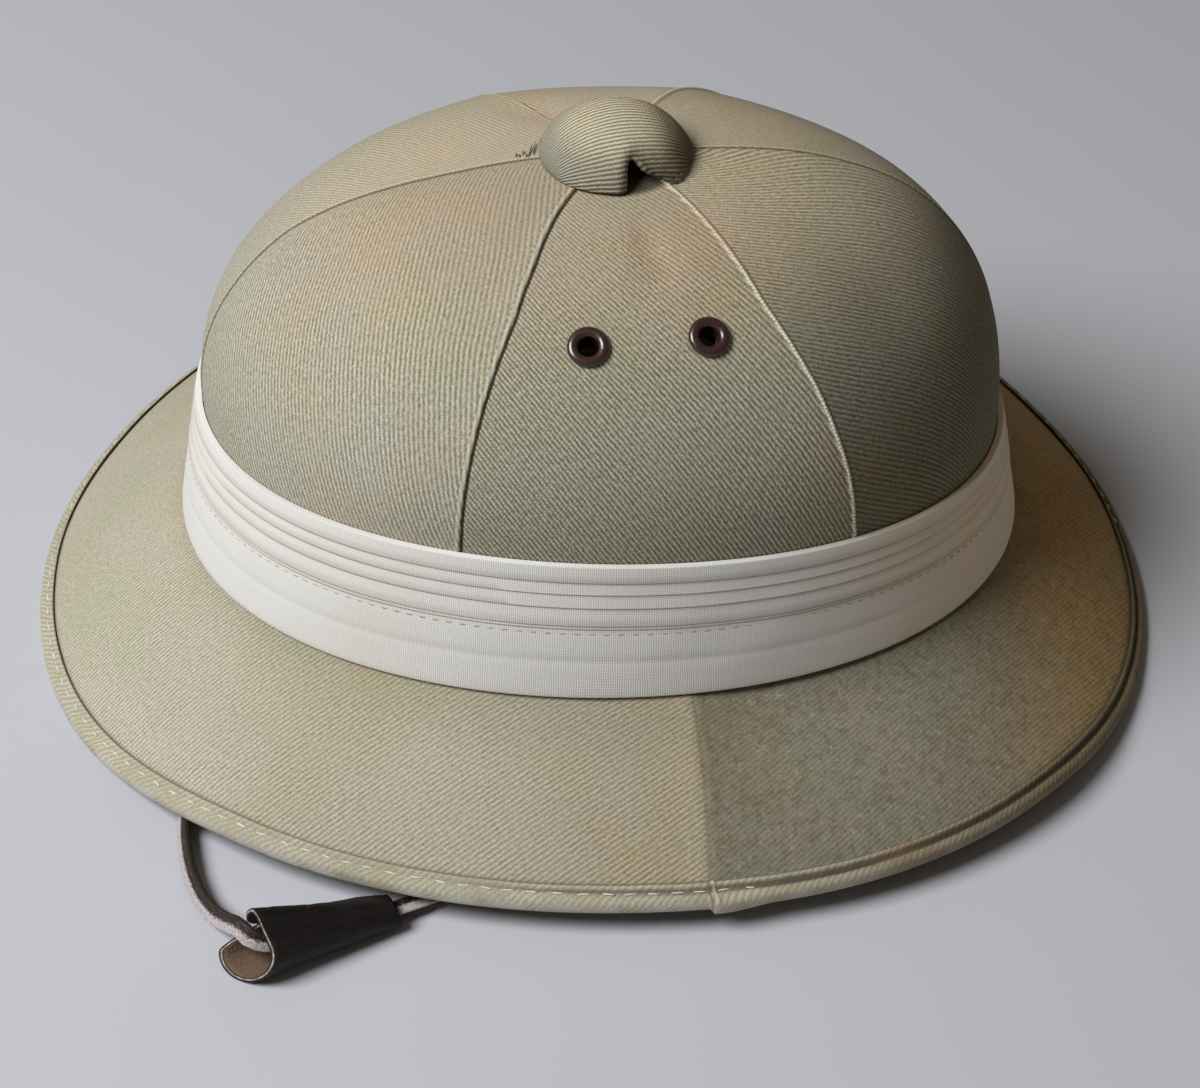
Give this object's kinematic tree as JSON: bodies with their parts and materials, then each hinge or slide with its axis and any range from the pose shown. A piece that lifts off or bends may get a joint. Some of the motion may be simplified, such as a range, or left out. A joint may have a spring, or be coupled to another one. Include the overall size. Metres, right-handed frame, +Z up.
{
  "type": "pith helmet",
  "caption": "Rigid khaki sun helmet: domed crown of stitched cloth panels, pleated cream band, sloping bound brim, top vent button, side eyelets and a loose leather chin strap.",
  "frame": {"origin": "bottom centre of the helmet without its chin strap: the middle of the brim's outline, on the surface it rests on", "axes": "+Z up, X along the helmet with its front at -X, -Y towards the side with the two eyelets"},
  "size_m": [0.3241, 0.3002, 0.158],
  "materials": {
    "crown_cloth": "khaki cotton twill over pith",
    "brim_cloth": "khaki cotton twill over pith",
    "binding_cloth": "folded khaki twill with a row of pale stitches",
    "band_cloth": "cream plain weave, pleated and stitched",
    "button_cloth": "khaki cotton twill stretched over a domed shell",
    "eyelet_metal": "dark brown paint, semi-gloss",
    "strap_leather": "brown leather, smooth face and rough cut edge",
    "sleeve_leather": "dark brown rolled leather, tan inside"
  },
  "bodies": {
    "root": {"crown": "crown_cloth", "brim": "brim_cloth", "brim_binding": "binding_cloth", "puggaree": "band_cloth", "top_button": "button_cloth", "eyelet_front": "eyelet_metal", "eyelet_back": "eyelet_metal", "chin_strap": "strap_leather", "strap_sleeve": "sleeve_leather"}
  },
  "joints": []
}
